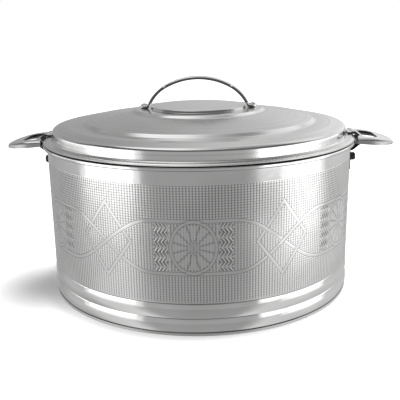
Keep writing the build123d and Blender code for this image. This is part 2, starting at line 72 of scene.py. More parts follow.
def spun_sheet(name, turns, sheet, facing):
    """Spins a profile of sheet metal round the pot's axis. A turn is a radius, a height and a bend radius.

    The profile is the sheet's good side, which looks towards facing at its first turn; the sheet is behind it.
    """
    shell = bmesh.new()
    corners = [shell.verts.new((radius, 0, height)) for radius, height, bend in turns]
    for pair in zip(corners, corners[1:]):
        shell.edges.new(pair)
    places = [corner.co.copy() for corner in corners]
    bends = [bend for _, _, bend in turns]
    for before, here, after, corner, bend in zip(places, places[1:], places[2:], corners[1:], bends[1:]):
        if bend:
            angle = (here - before).angle(after - here)
            steps = max(3, round(angle / bend_step))
            bmesh.ops.bevel(shell, geom=[corner], offset=bend * tan(angle / 2), offset_type="OFFSET",
                            segments=steps, profile=0.5, affect="VERTICES", material=-1)
    bmesh.ops.spin(shell, geom=shell.verts[:] + shell.edges[:], cent=(0, 0, 0), axis=(0, 0, 1), angle=2 * pi,
                   steps=spin_steps, use_merge=True, use_duplicate=False)
    bmesh.ops.remove_doubles(shell, verts=shell.verts, dist=0.001)
    bmesh.ops.recalc_face_normals(shell, faces=shell.faces)
    first = min(shell.faces, key=lambda face: min((vert.co - places[0]).length for vert in face.verts))
    if first.normal.dot(Vector(facing)) < 0:
        bmesh.ops.reverse_faces(shell, faces=shell.faces)
    bmesh.ops.solidify(shell, geom=shell.verts[:] + shell.edges[:] + shell.faces[:], thickness=sheet)
    return finished(shell, name)


def finished(shape, name):
    """Turns a shape made in millimetres into a smooth-shaded object in metres."""
    bmesh.ops.scale(shape, vec=(MM, MM, MM), verts=shape.verts)
    for face in shape.faces:
        face.smooth = True
    for edge in shape.edges:
        edge.smooth = edge.calc_face_angle(0) < crisp_edge
    mesh = bpy.data.meshes.new(name)
    shape.to_mesh(mesh)
    shape.free()
    piece = bpy.data.objects.new(name, mesh)
    bpy.context.scene.collection.objects.link(piece)
    flats = piece.modifiers.new("flat runs stay flat", "WEIGHTED_NORMAL")
    flats.keep_sharp = True
    return piece


body_sheet = 0.6
flange_radius, flange_height, flange_bend = 152.4, 142.05, 1.2
wall_radius, waist_radius, waist_rise = 150.0, 147.03, 1.0
upper_crease_radius, middle_crease_radius, crease_bend = 146.0, 145.67, 0.25
bead_height, bead_radius, bead_bend = 12.7, 148.6, 13.5
foot_radius, foot_height, foot_bend, foot_edge = 145.8, 2.6, 0.3, 0.95
beads_top = foot_height + 2 * bead_height
wall_turns = [
    (flange_radius, flange_height, 0),
    (wall_radius, flange_height, flange_bend),
    (waist_radius, beads_top + waist_rise, flange_bend),
    (upper_crease_radius, beads_top, crease_bend),
    (bead_radius, beads_top - bead_height / 2, bead_bend),
    (middle_crease_radius, foot_height + bead_height, crease_bend),
    (bead_radius, foot_height + bead_height / 2, bead_bend),
    (foot_radius, foot_height, foot_bend),
    (foot_radius, foot_edge, 0),
]
wall = spun_sheet("pot_wall", wall_turns, body_sheet, (0, 0, -1))


def add_node(tree, kind, *inputs, **settings):
    """Adds a shader node with its settings, and links or sets its inputs in their order."""
    made = tree.nodes.new(kind)
    for setting, value in settings.items():
        setattr(made, setting, value)
    for socket, value in zip(made.inputs, inputs):
        if isinstance(value, bpy.types.NodeSocket):
            tree.links.new(value, socket)
        elif value is not None:
            socket.default_value = value
    return made


class Finish:
    """A finish in the making: its shader, and the nodes that vary its colour, roughness and bump.

    Places on the piece are in millimetres. The plain colour and roughness serve where no nodes are followed.
    """

    def __init__(self, name, colour, roughness, metal=1.0):
        self.material = bpy.data.materials.new(name)
        self.material.use_nodes = True
        self.tree = self.material.node_tree
        self.shader = self.tree.nodes["Principled BSDF"]
        self.shader.inputs["Base Color"].default_value = (*colour, 1)
        self.shader.inputs["Metallic"].default_value = metal
        self.shader.inputs["Roughness"].default_value = roughness
        place = self.node("ShaderNodeTexCoord").outputs["Object"]
        in_mm = self.node("ShaderNodeVectorMath", place, operation="SCALE")
        in_mm.inputs["Scale"].default_value = 1 / MM
        self.place = in_mm.outputs[0]
        self.x, self.y, self.z = self.node("ShaderNodeSeparateXYZ", self.place).outputs
        across_squared = self.math("MULTIPLY", self.y, self.y)
        self.radius = self.math("SQRT", self.math("MULTIPLY_ADD", self.x, self.x, across_squared))

    def node(self, kind, *inputs, **settings):
        return add_node(self.tree, kind, *inputs, **settings)

    def math(self, operation, *values):
        return self.node("ShaderNodeMath", *values, operation=operation).outputs[0]

    def off(self, value, middle):
        """How far a value is from a middle."""
        return self.math("ABSOLUTE", self.math("SUBTRACT", value, middle))

    def ramp(self, value, low, high, start=0.0, end=1.0):
        """Goes smoothly from start to end while the value goes from low to high."""
        limits = (value, low, high, start, end)
        return self.node("ShaderNodeMapRange", *limits, interpolation_type="SMOOTHSTEP").outputs[0]

    def facing(self):
        """How much the surface faces along x, y and z."""
        normal = self.node("ShaderNodeTexCoord").outputs["Normal"]
        return self.node("ShaderNodeSeparateXYZ", normal).outputs

    def speckle(self, scale, detail=2.0, place=None):
        """Cloudy variation between 0 and 1, with about this many specks in a millimetre."""
        grain = self.node("ShaderNodeTexNoise", place or self.place)
        grain.inputs["Scale"].default_value = scale
        grain.inputs["Detail"].default_value = detail
        return grain.outputs["Fac"]

    def lathe_marks(self, pitch):
        """Fine rings left by the spinning lathe, the same all round."""
        place = self.node("ShaderNodeCombineXYZ", self.radius, 0.0, self.z).outputs[0]
        return self.speckle(1 / pitch, 3.0, place)

    def raise_by(self, height):
        """Height in millimetres becomes the bump."""
        bump = self.node("ShaderNodeBump")
        bump.inputs["Distance"].default_value = MM
        self.tree.links.new(height, bump.inputs["Height"])
        self.tree.links.new(bump.outputs[0], self.shader.inputs["Normal"])

    def rough(self, value):
        self.tree.links.new(value, self.shader.inputs["Roughness"])

    def colour(self, share, first, second):
        """Goes from the first colour to the second while the share goes from 0 to 1."""
        mix = self.node("ShaderNodeMix", data_type="RGBA")
        share_in, first_in, second_in, mixed_out = mix.inputs[0], mix.inputs[6], mix.inputs[7], mix.outputs[2]
        first_in.default_value = (*first, 1)
        second_in.default_value = (*second, 1)
        self.tree.links.new(share, share_in)
        self.tree.links.new(mixed_out, self.shader.inputs["Base Color"])


embossed = Finish("embossed_steel", (0.78, 0.78, 0.775), 0.13)
band_foot, band_top, figures_middle = 30.0, 129.5, 77.2
repeats, cells_in_repeat, cell_height = 6, 60, 2.15
repeat_width = 2 * pi * wall_radius / repeats

around = embossed.math("ARCTAN2", embossed.x, embossed.math("MULTIPLY", embossed.y, -1.0))
repeat = embossed.math("MULTIPLY", around, repeats / (2 * pi))
from_rosette = embossed.math("SUBTRACT", repeat, embossed.math("ROUND", repeat))
from_rosette = embossed.math("MULTIPLY", from_rosette, repeat_width)
half_repeat = embossed.math("SUBTRACT", repeat, embossed.math("FLOOR", repeat))
from_lozenge = embossed.math("MULTIPLY", embossed.math("SUBTRACT", half_repeat, 0.5), repeat_width)
up = embossed.math("SUBTRACT", embossed.z, figures_middle)
off_rosette = embossed.math("ABSOLUTE", from_rosette)
off_middle = embossed.math("ABSOLUTE", up)


def pillow(place, cell, squareness):
    """One row of rounded cushions, 1 in the middle of each and 0 at its edges."""
    across = embossed.math("FRACT", embossed.math("DIVIDE", place, cell))
    across = embossed.math("ABSOLUTE", embossed.math("MULTIPLY_ADD", across, 2.0, -1.0))
    return embossed.math("SUBTRACT", 1.0, embossed.math("POWER", across, squareness))


def inside(distance, edge, soft=0.3):
    """1 where the distance is less than the edge, with a soft step."""
    return embossed.ramp(distance, edge - soft, edge + soft, 1.0, 0.0)


def outline(distance, edge, width=0.3):
    """1 on a fine line at the edge."""
    return inside(embossed.off(distance, edge), width, 0.25)


def both(*masks):
    """1 where every mask is 1."""
    result = masks[0]
    for mask in masks[1:]:
        result = embossed.math("MULTIPLY", result, mask)
    return result


def without(mask):
    """1 where the mask is 0."""
    return embossed.math("SUBTRACT", 1.0, mask)


def either(*masks):
    """1 where any of the masks is 1."""
    result = masks[0]
    for mask in masks[1:]:
        result = embossed.math("MAXIMUM", result, mask)
    return result


# Two ribbons cross in the middle of each lozenge; the one that rises to the right lies on top.
ribbon_swing, ribbon_run, ribbon_half = 22.4, 45.0, 1.5
along = embossed.math("DIVIDE", from_lozenge, ribbon_run)
phase = embossed.math("MULTIPLY", embossed.node("ShaderNodeClamp", along, -1.0, 1.0).outputs[0], pi / 2)
ribbon_line = embossed.math("MULTIPLY", embossed.math("SINE", phase), ribbon_swing)
slope = embossed.math("MULTIPLY", embossed.math("COSINE", phase), ribbon_swing * pi / 2 / ribbon_run)
lean = embossed.math("SQRT", embossed.math("MULTIPLY_ADD", slope, slope, 1.0))
off_rising = embossed.math("DIVIDE", embossed.off(up, ribbon_line), lean)
off_falling = embossed.math("ABSOLUTE", embossed.math("ADD", up, ribbon_line))
off_falling = embossed.math("DIVIDE", off_falling, lean)
lozenge_half_width, lozenge_half_height, lozenge_half, lozenge_lift = 24.6, 31.5, 1.5, 2.5
off_lozenge = embossed.math("DIVIDE", embossed.math("ABSOLUTE", from_lozenge), lozenge_half_width)
off_lozenge_middle = embossed.off(up, lozenge_lift)
off_lozenge = embossed.math("MULTIPLY_ADD", off_lozenge_middle, 1 / lozenge_half_height, off_lozenge)
lozenge_scale = lozenge_half_width * lozenge_half_height / hypot(lozenge_half_width, lozenge_half_height)
off_lozenge = embossed.math("MULTIPLY", embossed.off(off_lozenge, 1.0), lozenge_scale)
rising, falling = inside(off_rising, ribbon_half), inside(off_falling, ribbon_half)
lozenge = inside(off_lozenge, lozenge_half)
right_half = embossed.math("GREATER_THAN", from_lozenge, 0.0)
left_half = without(right_half)
crossed_lozenge = either(both(rising, right_half), both(falling, left_half))
ribbon_lines = either(
    both(outline(off_rising, ribbon_half), without(both(lozenge, left_half))),
    both(outline(off_lozenge, lozenge_half), without(crossed_lozenge)),
    both(outline(off_falling, ribbon_half), without(rising), without(both(lozenge, right_half))),
)
ribbons = either(rising, falling, lozenge)

# The rosette is an oval ring round twelve petals and a hub.
ring_half_width, ring_half_height, ring_half, ring_scale = 19.0, 22.0, 1.4, 20.0
oval_across = embossed.math("POWER", embossed.math("DIVIDE", off_rosette, ring_half_width), 2.0)
oval_up = embossed.math("POWER", embossed.math("DIVIDE", off_middle, ring_half_height), 2.0)
oval = embossed.math("SQRT", embossed.math("ADD", oval_across, oval_up))
off_ring = embossed.math("MULTIPLY", embossed.off(oval, 1.0), ring_scale)
ring = inside(off_ring, ring_half)
in_rosette = inside(oval, 1.0, 0.02)
from_hub = embossed.math("MULTIPLY_ADD", from_rosette, from_rosette, embossed.math("MULTIPLY", up, up))
from_hub = embossed.math("SQRT", from_hub)
petals, petal_middle, petal_half_length, petal_gap, petal_line = 12, 11.5, 7.0, 1.3, 0.3
petal_turn = embossed.math("MULTIPLY", embossed.math("ARCTAN2", from_rosette, up), petals / (2 * pi))
petal_turn = embossed.off(petal_turn, embossed.math("ROUND", petal_turn))
off_gap = embossed.math("MULTIPLY_ADD", petal_turn, -2 * pi / petals, pi / petals)
off_gap = embossed.math("MULTIPLY", off_gap, from_hub)
in_petals = both(inside(embossed.off(from_hub, petal_middle), petal_half_length), in_rosette)
petal = both(without(inside(off_gap, petal_gap, 0.6)), in_petals)
petal_lines = both(inside(off_gap, petal_line), in_petals)
hub_radius, hub_half = 2.8, 0.7
hub = inside(embossed.off(from_hub, hub_radius), hub_half)
hub_lines = either(outline(from_hub, hub_radius - hub_half, 0.2),
                   outline(from_hub, hub_radius + hub_half, 0.2))

# A field of fern leaves stands on each side of the rosette: level branches with slanting, tapering needles.
leaf_middle, leaf_half_width, leaf_half_height, leaf_taper = 26.8, 7.4, 20.5, 0.5
branch_spacing, branch_half = 8.4, 0.35
needle_pitch, needle_half, needle_slant, needle_taper = 3.1, 0.95, 0.8, 0.14
off_branch = embossed.math("PINGPONG", up, branch_spacing / 2)
leaf_reach = embossed.math("MULTIPLY_ADD", off_branch, leaf_taper, embossed.off(off_rosette, leaf_middle))
leaf_field = both(inside(leaf_reach, leaf_half_width), inside(off_middle, leaf_half_height))
leaf_field = both(leaf_field, without(in_rosette))
needle = embossed.math("MULTIPLY_ADD", off_branch, -needle_slant, off_rosette)
needle = embossed.math("FRACT", embossed.math("DIVIDE", needle, needle_pitch))
needle = embossed.math("MULTIPLY_ADD", needle, needle_pitch, -needle_pitch / 2)
needle = embossed.math("MULTIPLY_ADD", off_branch, needle_taper, embossed.math("ABSOLUTE", needle))
leaves = both(either(inside(needle, needle_half), inside(off_branch, branch_half)), leaf_field)

# The waffle of small cushions fills the band round the figures. Heights are in millimetres.
figure_lines = either(
    both(ribbon_lines, without(in_rosette)),
    outline(off_ring, ring_half),
    petal_lines,
    hub_lines,
    both(without(leaves), leaf_field),
)
in_band = inside(embossed.off(embossed.z, (band_foot + band_top) / 2), (band_top - band_foot) / 2)
column_squareness, row_squareness, petal_plainness = 2.4, 3.0, 0.6
columns = pillow(around, 2 * pi / (repeats * cells_in_repeat), column_squareness)
rows = pillow(embossed.z, cell_height, row_squareness)
figures = either(ribbons, ring, leaves, hub)
plain = either(figures, leaf_field, embossed.math("MULTIPLY", petal, petal_plainness), without(in_band))
waffle = without(plain)
column_relief, row_relief, figure_relief, line_relief, sheet_wave = 0.05, 0.03, 0.06, -0.04, 0.25
relief = embossed.math("MULTIPLY", both(columns, waffle), column_relief)
relief = embossed.math("MULTIPLY_ADD", both(rows, waffle), row_relief, relief)
relief = embossed.math("MULTIPLY_ADD", either(figures, petal), figure_relief, relief)
relief = embossed.math("MULTIPLY_ADD", figure_lines, line_relief, relief)
relief = embossed.math("MULTIPLY_ADD", embossed.speckle(0.04), sheet_wave, relief)
embossed.raise_by(relief)

# Painted shade darkens the waffle's grooves and the figures' lines, more in the rows near the top of the band,
# and most of all in the folds above and below the beads. The plain steel keeps a slight tone and a faint haze.
column_shade, line_shade, plain_tone = 0.75, 0.75, 0.16
faint_row_shade_height, deep_row_shade_height = 84.0, 112.0
row_shade = embossed.ramp(embossed.z, faint_row_shade_height, deep_row_shade_height, 0.24, 0.55)
grooves = embossed.math("MULTIPLY", without(rows), row_shade)
grooves = embossed.math("MULTIPLY_ADD", without(columns), column_shade, grooves)
painted_shade_and_tone = either(
    embossed.math("MULTIPLY", plain, plain_tone),
    embossed.math("MULTIPLY", figure_lines, line_shade),
    both(grooves, waffle),
)
# Painted shade in the folds above and below the beads.
foot_fold, waist_fold = 3.8, 28.4
fold_shade = either(inside(embossed.z, foot_fold, 0.4), inside(embossed.off(embossed.z, waist_fold), 0.5))
haze = embossed.ramp(embossed.speckle(0.016, 1.0), 0.35, 0.65, -0.05, 0.1)
shade_tone_and_haze = embossed.math("ADD", either(painted_shade_and_tone, fold_shade), haze)
embossed.colour(shade_tone_and_haze, (0.92, 0.92, 0.915), (0.22, 0.22, 0.215))
embossed.rough(embossed.ramp(plain, 0.0, 1.0, 0.2, 0.12))
wall.data.materials.append(embossed.material)
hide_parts("outer_shell")
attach(wall, "pot_body")

# ---- Bowl and rim ----
# The bowl is deep drawn from bright sheet and its edge is rolled over the wall's flange, which makes the rim
# that the lid rests on. Inside it is polished, with faint rings from the lathe.
seat_gap = 0.05


def reach_and_top(node):
    """How far out and up a piece of the frame reaches, in millimetres to the nearest tenth."""
    _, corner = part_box(node)
    return round(corner.x / MM, 1), round(corner.z / MM, 1)


rim_radius, rim_height = reach_and_top("inner_bowl")
bowl_radius, bowl_floor, bowl_corner, mouth_bend = 138.0, 13.0, 20.0, 1.5
lip_radius, lip_height, rim_bend, lip_bend = 151.8, 141.4, 1.4, 1.0
bowl_turns = [
    (0, bowl_floor, 0),
    (bowl_radius, bowl_floor, bowl_corner),
    (bowl_radius, rim_height, mouth_bend),
    (rim_radius, rim_height, rim_bend),
    (rim_radius, lip_height, lip_bend),
    (lip_radius, lip_height, 0),
]
bowl = spun_sheet("bowl_and_rim", bowl_turns, body_sheet, (0, 0, 1))
polished_colour, gap_shade_colour = (0.79, 0.79, 0.785), (0.03, 0.03, 0.03)
polished = Finish("polished_steel", polished_colour, 0.1)
marks = polished.lathe_marks(0.7)
smears = polished.speckle(0.02, 3.0)
polished.raise_by(polished.math("MULTIPLY", marks, 0.004))
polished.rough(polished.ramp(smears, 0.3, 0.75, 0.07, 0.16))

# Painted shade: the narrow gaps over the rim's outer corner and inside its turned-in lip are coloured black,
# as no light reaches them.
rim_corner_shade = polished.math(
    "MULTIPLY",
    polished.ramp(polished.z, rim_height - 0.7, rim_height - 0.3),
    polished.ramp(polished.radius, rim_radius - 1.2, rim_radius - 0.8),
)
under_rim_shade = polished.math(
    "MULTIPLY",
    polished.ramp(polished.z, lip_height + 0.3, lip_height + 0.9, 0.75, 0.0),
    polished.ramp(polished.radius, lip_radius + 0.2, lip_radius + 0.8),
)
polished.colour(polished.math("MAXIMUM", rim_corner_shade, under_rim_shade), polished_colour, gap_shade_colour)
bowl.data.materials.append(polished.material)
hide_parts("inner_bowl")
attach(bowl, "pot_body")

# ---- Base pan ----
# A shallow steel pan, seamed round the foot of the wall. The pot stands on its seam, whose outside is given a
# painted highlight in a lighter colour; the rest is left with a satin finish.
recess_radius, recess_height, recess_bend = 142.2, 3.0, 2.0
seam_inside, seam_inside_bend = 144.6, 0.4
seam_radius, seam_height, seam_bend = 146.45, 2.6, 0.9
pan_turns = [
    (0, recess_height, 0),
    (recess_radius, recess_height, recess_bend),
    (seam_inside, 0, seam_inside_bend),
    (seam_radius, 0, seam_bend),
    (seam_radius, seam_height, 0),
]
pan = spun_sheet("base_pan", pan_turns, body_sheet, (0, 0, -1))
satin = Finish("satin_steel", (0.66, 0.66, 0.655), 0.3)
brushing = satin.lathe_marks(0.5)
satin.raise_by(satin.math("MULTIPLY", brushing, 0.012))
satin.rough(satin.ramp(satin.speckle(0.03, 4.0), 0.3, 0.7, 0.24, 0.38))
# Painted highlight: the outside of the seam is coloured lighter than the satin round it.
seam_highlight = satin.math(
    "MULTIPLY",
    satin.ramp(satin.z, 0.6, 1.0),
    satin.ramp(satin.z, seam_height, seam_height + 0.4, 1.0, 0.0),
)
brushing_and_seam_highlight = satin.math("MULTIPLY_ADD", seam_highlight, 2.5, brushing)
satin.colour(brushing_and_seam_highlight, (0.6, 0.6, 0.595), (0.7, 0.7, 0.695))
pan.data.materials.append(satin.material)
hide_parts("base_plate")
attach(pan, "pot_body")

# ---- Foam in the wall and the lid ----
# Rigid foam is blown into the closed wall and the lid and keeps the food warm. It is seen only where one of
# them is cut open.


def dress(finish, *nodes):
    """Gives a finish to pieces of the frame that keep their shape."""
    for node in nodes:
        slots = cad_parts[node].data.materials
        slots.clear()
        slots.append(finish.material)


foam = Finish("rigid_foam", (0.86, 0.8, 0.62), 0.85, metal=0.0)
foam_cells = foam.speckle(0.9, 5.0)
foam.raise_by(foam.math("MULTIPLY", foam_cells, 0.6))
foam.colour(foam_cells, (0.78, 0.7, 0.5), (0.92, 0.87, 0.7))
dress(foam, "body_insulation", "lid_insulation")

# ---- Lid cover ----
# Spun from one disc of bright sheet: a raised centre, a ledge for the handle, a dome with one step, a rounded
# shoulder, a skirt and a brim that is hemmed over the liner's flange.
lid_sheet = 0.5
_, lid_height = reach_and_top("lid_cover")
disc_radius, disc_bend = 46.96, 0.8
ledge_start, ledge_radius, ledge_height, riser_bend, ledge_bend = 47.76, 63.26, 173.7, 0.3, 3
dome_start, dome_height = 66.76, 171.3
dome_radius, dome_foot, step_bend = 112.5, 164.4, 1.5
step_radius, step_foot = 116, 161.4
rib_radius, rib_height, rib_bend = 131, 160.7, 6
skirt_radius, shoulder_height, shoulder_bend = 144.7, 158, 3.5
brim_radius, brim_height, brim_bend, brim_edge_bend = 151.3, 147.2, 1.4, 0.3
hem_radius, hem_height, hem_bend = 151.5, 145.3, 0.1
cover_turns = [
    (0, lid_height, 0),
    (disc_radius, lid_height, disc_bend),
    (ledge_start, ledge_height, riser_bend),
    (ledge_radius, ledge_height, ledge_bend),
    (dome_start, dome_height, ledge_bend),
    (dome_radius, dome_foot, step_bend),
    (step_radius, step_foot, step_bend),
    (rib_radius, rib_height, rib_bend),
    (skirt_radius, shoulder_height, shoulder_bend),
    (skirt_radius, brim_height, brim_bend),
    (brim_radius, brim_height, brim_edge_bend),
    (rim_radius, hem_height, hem_bend),
    (hem_radius, hem_height, 0),
]
cover = spun_sheet("lid_cover_spun", cover_turns, lid_sheet, (0, 0, 1))
buffed = Finish("buffed_steel", (0.78, 0.78, 0.775), 0.18)
marks = buffed.lathe_marks(1.6)
smears = buffed.speckle(0.015, 3.0)
buffed.raise_by(buffed.math("MULTIPLY_ADD", marks, 0.006, buffed.math("MULTIPLY", smears, 0.3)))
buffed.rough(buffed.ramp(smears, 0.3, 0.7, 0.13, 0.22))
# Painted shade: the crease along the hem's lower edge, over the rim, is coloured black. Faint lathe rings
# darken the rest a little.
hem = buffed.math(
    "MULTIPLY",
    buffed.ramp(buffed.z, hem_height + 0.3, hem_height + 0.6, 1.0, 0.0),
    buffed.ramp(buffed.radius, rim_radius - 1.2, rim_radius - 0.8),
)
rings = buffed.ramp(marks, 0.3, 0.7, 0.0, 0.14)
buffed.colour(buffed.math("MAXIMUM", hem, rings), (0.83, 0.83, 0.825), gap_shade_colour)
cover.data.materials.append(buffed.material)
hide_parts("lid_cover")
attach(cover, "lid")

# ---- Lid liner ----
# The satin steel pan under the lid that holds the foam and plugs the bowl's mouth. Its flange is held in the
# cover's hem.
plug_radius, plug_depth, plug_corner = 136.5, 11.0, 6
liner_flange_radius, liner_bend = 152.9, 1.0
liner_flange_height = hem_height + lid_sheet + seat_gap
liner_turns = [
    (0, rim_height - plug_depth, 0),
    (plug_radius, rim_height - plug_depth, plug_corner),
    (plug_radius, liner_flange_height, liner_bend),
    (liner_flange_radius, liner_flange_height, 0),
]
liner = spun_sheet("lid_liner_spun", liner_turns, lid_sheet, (0, 0, -1))
liner.data.materials.append(satin.material)
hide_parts("lid_liner")
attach(liner, "lid")

# ---- Lid handle ----
# A polished steel strap, sheared to width and bent cold into an arch. Its two feet are rounded at the ends
# and riveted flat on the lid's ledge.
strap_width, strap_thickness, toe_radius, strap_edge = 14.0, 3.0, 6.6, 1.2
crown_radius, crown_angle = 66.0, radians(30)
shoulder_radius, leg_angle = 39.5, radians(61)
_, arch_top = reach_and_top("lid_handle")
strap_foot_height, strap_foot_end, foot_turn = ledge_height + seat_gap, 58.36, 2.2
crown_steps, shoulder_steps, foot_steps, toe_steps, edge_steps = 20, 14, 8, 8, 4
touching, square_edge = 0.01, radians(50)
strap = bmesh.new()
half_width, half_thickness = strap_width / 2, strap_thickness / 2
crown_centre = arch_top - half_thickness - crown_radius
strap_cut = [
    (0, -half_width, arch_top - strap_thickness),
    (0, half_width, arch_top - strap_thickness),
    (0, half_width, arch_top),
    (0, -half_width, arch_top),
]
end = strap.faces.new([strap.verts.new(corner) for corner in strap_cut])


def bent_on(end, centre, angle, steps):
    """Carries the strap on round a bend and returns its new end."""
    bent = bmesh.ops.spin(strap, geom=[end], cent=centre, axis=(0, 1, 0), angle=angle, steps=steps,
                          use_duplicate=False)
    return next(item for item in bent["geom_last"] if isinstance(item, bmesh.types.BMFace))


def run_on(end, step):
    """Carries the strap straight on and returns its new end."""
    run = bmesh.ops.extrude_discrete_faces(strap, faces=[end])["faces"][0]
    bmesh.ops.translate(strap, vec=step, verts=run.verts)
    return run


end = bent_on(end, (0, 0, crown_centre), crown_angle, crown_steps)
crown_end = Vector((sin(crown_angle), 0, cos(crown_angle)))
shoulder_centre = Vector((0, 0, crown_centre)) + (crown_radius - shoulder_radius) * crown_end
end = bent_on(end, shoulder_centre, leg_angle - crown_angle, shoulder_steps)
leg = Vector((cos(leg_angle), 0, -sin(leg_angle)))
outward = Vector((sin(leg_angle), 0, cos(leg_angle)))
leg_top = shoulder_centre + shoulder_radius * outward
turn_height = strap_foot_height + half_thickness + foot_turn
leg_length = (leg_top.z - turn_height + foot_turn * cos(leg_angle)) / sin(leg_angle)
end = run_on(end, leg * leg_length)
turn_centre = leg_top + leg * leg_length + foot_turn * outward
end = bent_on(end, turn_centre, -leg_angle, foot_steps)
end = run_on(end, (strap_foot_end - turn_centre.x, 0, 0))
toe = [edge for edge in end.edges if abs(edge.verts[0].co.y - edge.verts[1].co.y) < touching]
bmesh.ops.bevel(strap, geom=toe, offset=toe_radius, offset_type="OFFSET", segments=toe_steps, profile=0.5,
                affect="EDGES", material=-1)
middle_faces = [face for face in strap.faces if all(abs(vert.co.x) < touching for vert in face.verts)]
bmesh.ops.delete(strap, geom=middle_faces, context="FACES_ONLY")
half_strap = strap.verts[:] + strap.edges[:] + strap.faces[:]
bmesh.ops.mirror(strap, geom=half_strap, axis="X", merge_dist=touching)
bmesh.ops.remove_doubles(strap, verts=strap.verts, dist=touching)
bmesh.ops.recalc_face_normals(strap, faces=strap.faces)
long_edges = [edge for edge in strap.edges if edge.calc_face_angle(0) > square_edge]
bmesh.ops.bevel(strap, geom=long_edges, offset=strap_edge, offset_type="OFFSET", segments=edge_steps,
                profile=0.5, affect="EDGES", material=-1, clamp_overlap=True)
handle = finished(strap, "lid_handle_strap")
bright = Finish("polished_strap", (0.74, 0.74, 0.735), 0.12)
draw_lines = bright.speckle(0.5, 4.0)
bright.raise_by(bright.math("MULTIPLY", draw_lines, 0.01))
bright.rough(bright.ramp(bright.speckle(0.06, 3.0), 0.3, 0.7, 0.1, 0.2))

# Painted shade and dark reflection: the strap's side faces are coloured dark, less so where its rounded upper
# edge turns up to the light.
_, sideways, upwards = bright.facing()
to_side = bright.math("MULTIPLY_ADD", upwards, -0.35, bright.math("ABSOLUTE", sideways))
side_shade = bright.ramp(to_side, 0.6, 0.9, 0.0, 0.8)
draw_lines_and_side_shade = bright.math("MULTIPLY_ADD", draw_lines, 0.08, side_shade)
bright.colour(draw_lines_and_side_shade, (0.95, 0.95, 0.945), (0.06, 0.06, 0.06))
handle.data.materials.append(bright.material)
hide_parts("lid_handle")
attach(handle, "lid")

# ---- Rivets ----
# Two steel rivets hold the handle. Their heads are formed by a snap tool and stay a little duller than the
# strap; under the lid each one is closed over a satin steel washer.
snapped = Finish("snapped_rivets", (0.5, 0.5, 0.495), 0.3)
dents = snapped.speckle(0.5, 3.0)
snapped.raise_by(snapped.math("MULTIPLY", dents, 0.05))
snapped.rough(snapped.ramp(dents, 0.3, 0.7, 0.24, 0.36))
snapped.colour(dents, (0.4, 0.4, 0.395), (0.56, 0.56, 0.555))
dress(snapped, "handle_rivets")
dress(satin, "handle_backing_washers")

# ---- Latch handles ----
# Wings pressed from thick steel sheet, which turn on pins and hold the lid down. They are polished on top,
# with rougher turned-down edges; painted shade colours those edges darker and the finger hole's lip near
# black.
wing = Finish("pressed_wing", (0.74, 0.74, 0.735), 0.2)
_, _, upwards = wing.facing()
turned = wing.ramp(upwards, 0.3, 0.7, 1.0, 0.0)
hole_half_length, hole_end, hole_soft = 21.0, 181.5, 0.5
off_side, off_axis = wing.math("ABSOLUTE", wing.y), wing.math("ABSOLUTE", wing.x)
near_hole = wing.math(
    "MULTIPLY",
    wing.ramp(off_side, hole_half_length - hole_soft, hole_half_length + hole_soft, 1.0, 0.0),
    wing.ramp(off_axis, hole_end - hole_soft, hole_end + hole_soft, 1.0, 0.0),
)
hole_lip_shade = wing.math("MULTIPLY", turned, near_hole)
grain = wing.speckle(0.5, 4.0)
wing.raise_by(wing.math("MULTIPLY", grain, 0.01))
wing.rough(wing.math("MULTIPLY_ADD", turned, 0.2, wing.ramp(grain, 0.3, 0.7, 0.14, 0.26)))
# Painted shade: turned-down faces darker, the finger hole's lip near black.
wing_shade = wing.math("MULTIPLY_ADD", turned, 0.45, wing.math("MULTIPLY", hole_lip_shade, 0.5))
wing.colour(wing_shade, (0.76, 0.76, 0.755), (0.03, 0.03, 0.03))
dress(wing, "latch_handle_right", "latch_handle_left")

# ---- Brackets and fasteners ----
# The brackets are pressed from polished strap; painted shade colours their side faces dark, near black below
# the ears. Each one is held to the wall by a bolt with its washer and nut inside, and carries a hinge pin.
sheared = Finish("strap_with_painted_shade", (0.4, 0.4, 0.4), 0.25)
_, sideways, _ = sheared.facing()
grain = sheared.speckle(0.6, 4.0)
sheared.raise_by(sheared.math("MULTIPLY", grain, 0.02))
sheared.rough(sheared.ramp(grain, 0.3, 0.7, 0.18, 0.3))
# Painted shade on the side faces: near black below the ears, dark grey above.
bracket_side_shade = sheared.ramp(sheared.math("ABSOLUTE", sideways), 0.5, 0.9)
ear_foot = 136.0
shade_below_ears = sheared.ramp(sheared.z, ear_foot, ear_foot + 1.0, 1.0, 0.5)
sheared.colour(sheared.math("MULTIPLY", bracket_side_shade, shade_below_ears), (0.5, 0.5, 0.5), (0.02, 0.02, 0.02))
# Painted dark reflection and shade: bolts, washers, nuts and hinge pins are coloured near black.
near_black = Finish("near_black_steel", (0.06, 0.06, 0.06), 0.22)
grain = near_black.speckle(1.2, 4.0)
near_black.raise_by(near_black.math("MULTIPLY", grain, 0.02))
near_black.rough(near_black.ramp(grain, 0.3, 0.7, 0.14, 0.26))
near_black.colour(grain, (0.03, 0.03, 0.03), (0.1, 0.1, 0.1))
for side in ("right", "left"):
    dress(sheared, f"latch_bracket_{side}")
    dress(near_black, f"bracket_bolt_{side}", f"bracket_washer_{side}", f"bracket_nut_{side}")
    dress(near_black, f"hinge_pin_{side}")

